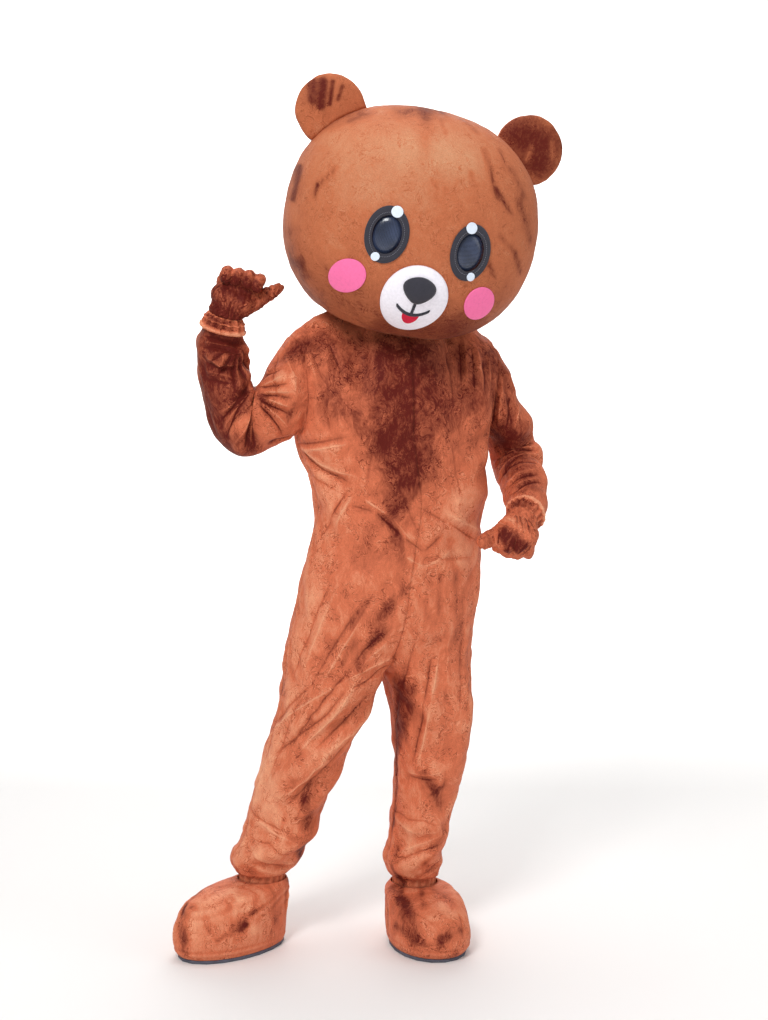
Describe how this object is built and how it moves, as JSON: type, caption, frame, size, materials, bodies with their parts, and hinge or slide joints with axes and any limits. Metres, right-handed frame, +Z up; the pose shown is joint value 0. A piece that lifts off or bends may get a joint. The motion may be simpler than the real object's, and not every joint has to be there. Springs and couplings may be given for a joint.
{
  "type": "plush bear costume",
  "caption": "Whole-body plush bear costume in worn form: hollow jumpsuit, big foam-walled head, gloves and shoe covers, standing with an arm raised",
  "frame": {"origin": "middle of the wearer's shoulder line, where the suit hangs from the shoulders", "axes": "+Z up, the suit's front faces -Y, +X is the wearer's left"},
  "size_m": [0.8488, 0.5282, 1.8856],
  "materials": {
    "brown_velvet": "crushed velvet, warm brown",
    "pink_felt": "flat felt",
    "white_plush": "short plush",
    "black_felt": "flat felt",
    "white_felt": "flat felt",
    "red_felt": "flat felt",
    "dark_lens": "dark see-through mesh, smooth",
    "grey_sole": "matt grey foam rubber",
    "zip_tape": "woven tape",
    "zip_metal": "satin"
  },
  "bodies": {
    "root": {"suit_front_left": "brown_velvet", "head_front_left": "brown_velvet", "ear_front_left": "brown_velvet", "suit_back_left": "brown_velvet", "head_back_left": "brown_velvet", "ear_back_left": "brown_velvet", "sleeve_left": "brown_velvet", "glove_back_left": "brown_velvet", "glove_palm_left": "brown_velvet", "glove_thumb_left": "brown_velvet", "glove_cuff_left": "brown_velvet", "shoe_upper_left": "brown_velvet", "shoe_collar_left": "brown_velvet", "shoe_sole_left": "grey_sole", "cheek_left": "pink_felt", "eye_rim_left": "black_felt", "eye_lens_left": "dark_lens", "glint_upper_left": "white_felt", "glint_lower_left": "white_felt", "suit_front_right": "brown_velvet", "head_front_right": "brown_velvet", "ear_front_right": "brown_velvet", "suit_back_right": "brown_velvet", "head_back_right": "brown_velvet", "ear_back_right": "brown_velvet", "sleeve_right": "brown_velvet", "glove_back_right": "brown_velvet", "glove_palm_right": "brown_velvet", "glove_thumb_right": "brown_velvet", "glove_cuff_right": "brown_velvet", "shoe_upper_right": "brown_velvet", "shoe_collar_right": "brown_velvet", "shoe_sole_right": "grey_sole", "cheek_right": "pink_felt", "eye_rim_right": "black_felt", "eye_lens_right": "dark_lens", "glint_upper_right": "white_felt", "glint_lower_right": "white_felt", "muzzle": "white_plush", "nose": "black_felt", "mouth": "black_felt", "tongue": "red_felt", "zip_tape": "zip_tape", "zip_slider": "zip_metal", "zip_pull": "zip_tape"}
  },
  "joints": []
}
